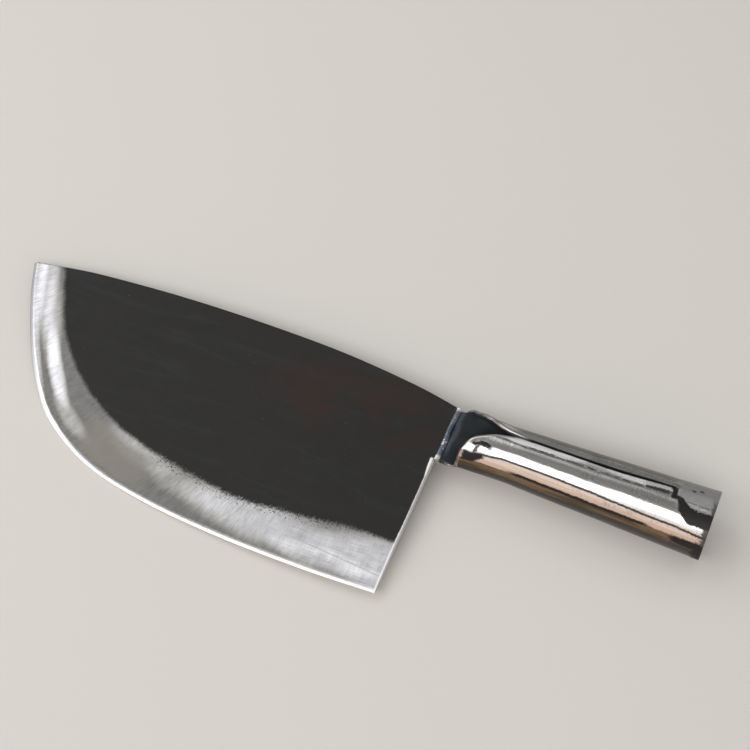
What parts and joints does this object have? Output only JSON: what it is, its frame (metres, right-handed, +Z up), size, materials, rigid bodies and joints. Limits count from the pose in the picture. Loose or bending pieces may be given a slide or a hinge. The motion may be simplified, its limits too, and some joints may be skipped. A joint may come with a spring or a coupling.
{
  "type": "meat cleaver",
  "caption": "All-steel butcher's cleaver with a curved-belly blade, a ground bevel and a tapered handle rolled from sheet.",
  "frame": {"origin": "middle of the bounding box's footprint, on the surface that the knife lies on", "axes": "+X along the handle towards the butt, +Y towards the spine, +Z up out of the seam side; the knife lies at rest on the underside of its handle and on the belly of its edge"},
  "size_m": [0.3394, 0.102, 0.0306],
  "materials": {
    "blade_steel": "black forge scale on the flats, bright ground bevel, polished cutting edge and heel",
    "handle_steel": "hand-polished to a slightly wavy mirror, dark in the seam and inside",
    "weld_steel": "ground flat, heat-blued with bright flecks"
  },
  "bodies": {
    "root": {"blade": "blade_steel", "rolled_handle": "handle_steel", "neck_weld_front": "weld_steel", "neck_weld_back": "weld_steel", "seam_weld": "handle_steel", "butt_cap": "handle_steel", "butt_weld": "weld_steel"}
  },
  "joints": []
}
